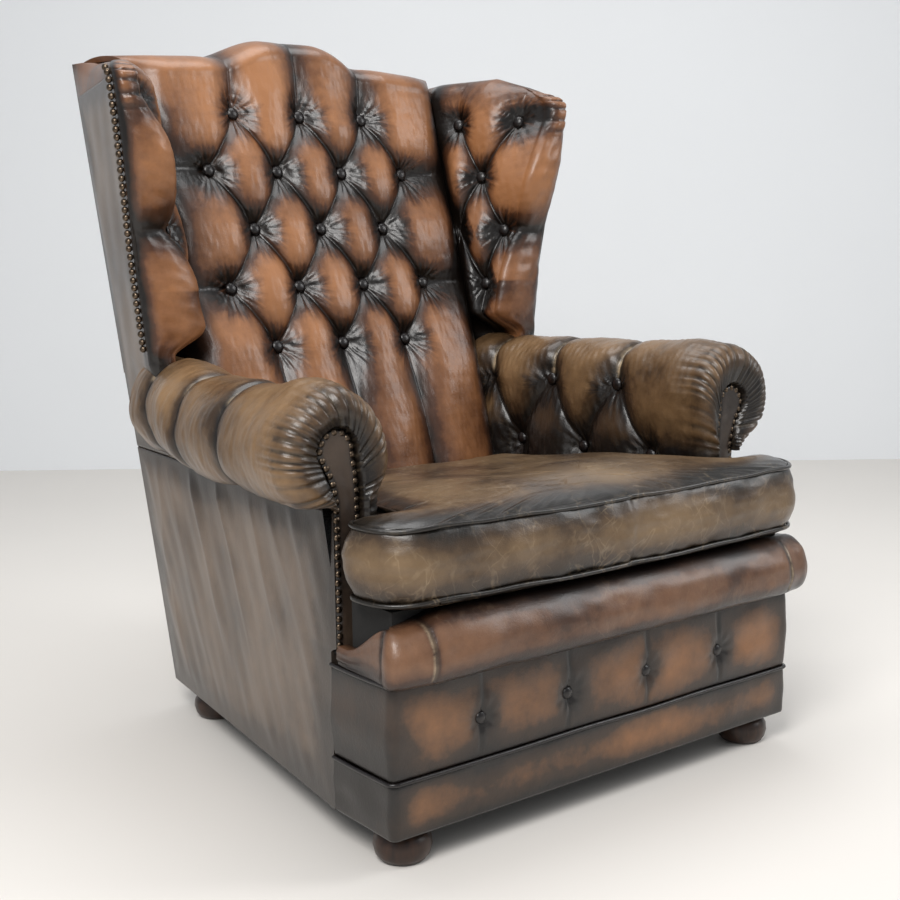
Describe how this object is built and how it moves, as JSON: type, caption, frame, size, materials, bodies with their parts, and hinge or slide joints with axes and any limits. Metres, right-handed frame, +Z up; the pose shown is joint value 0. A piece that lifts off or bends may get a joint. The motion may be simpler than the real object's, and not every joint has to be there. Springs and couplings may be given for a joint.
{
  "type": "wing armchair",
  "caption": "High-back wing armchair with deep-buttoned back and arms, scroll arms, loose T cushion, buttoned front border and bun feet.",
  "frame": {"origin": "centre of the bounding box on the floor plane", "axes": "+Z up, -Y out of the chair's front, +X to the right seen from the front"},
  "size_m": [0.874, 0.9204, 1.092],
  "materials": {
    "leather_tan": "worn aniline finish, tan with dark antiqued hollows",
    "leather_olive": "worn, olive brown with pale creases",
    "leather_grey": "flat, faded grey brown",
    "leather_dark": "dark brown piping and buttons",
    "stained_wood": "dark stained and polished",
    "raw_wood": "sawn hardwood, unfinished",
    "spring_steel": "bare drawn wire",
    "platform_cloth": "black woven lining cloth"
  },
  "bodies": {
    "root": {"side_rail_right": "raw_wood", "side_rail_left": "raw_wood", "back_post_right": "raw_wood", "back_post_left": "raw_wood", "arm_post_right": "raw_wood", "arm_post_left": "raw_wood", "arm_rail_right": "raw_wood", "arm_rail_left": "raw_wood", "wing_post_right": "raw_wood", "wing_post_left": "raw_wood", "wing_rail_right": "raw_wood", "wing_rail_left": "raw_wood", "front_corner_block_right": "raw_wood", "front_corner_block_left": "raw_wood", "rear_corner_block_right": "raw_wood", "rear_corner_block_left": "raw_wood", "front_foot_right": "stained_wood", "front_foot_left": "stained_wood", "rear_foot_right": "stained_wood", "rear_foot_left": "stained_wood", "inside_wing_pad_right": "leather_tan", "inside_wing_pad_left": "leather_tan", "arm_pad_right": "leather_olive", "arm_pad_left": "leather_olive", "arm_facing_right": "leather_dark", "arm_facing_left": "leather_dark", "outside_arm_right": "leather_grey", "outside_arm_left": "leather_grey", "outside_wing_right": "leather_grey", "outside_wing_left": "leather_grey", "front_rail": "raw_wood", "rear_rail": "raw_wood", "crest_rail": "raw_wood", "back_tack_rail": "raw_wood", "inside_back_pad": "leather_tan", "seat_deck": "platform_cloth", "seat_cushion": "leather_olive", "lip_roll": "leather_tan", "apron_panel": "leather_tan", "apron_welt": "leather_dark", "plinth_welt": "leather_dark", "plinth_band": "leather_tan", "outside_back": "leather_grey", "dust_cover": "platform_cloth", "seat_spring_1": "spring_steel", "apron_button_1": "leather_dark", "seat_spring_2": "spring_steel", "apron_button_2": "leather_dark", "seat_spring_3": "spring_steel", "apron_button_3": "leather_dark", "seat_spring_4": "spring_steel", "apron_button_4": "leather_dark"}
  },
  "joints": []
}
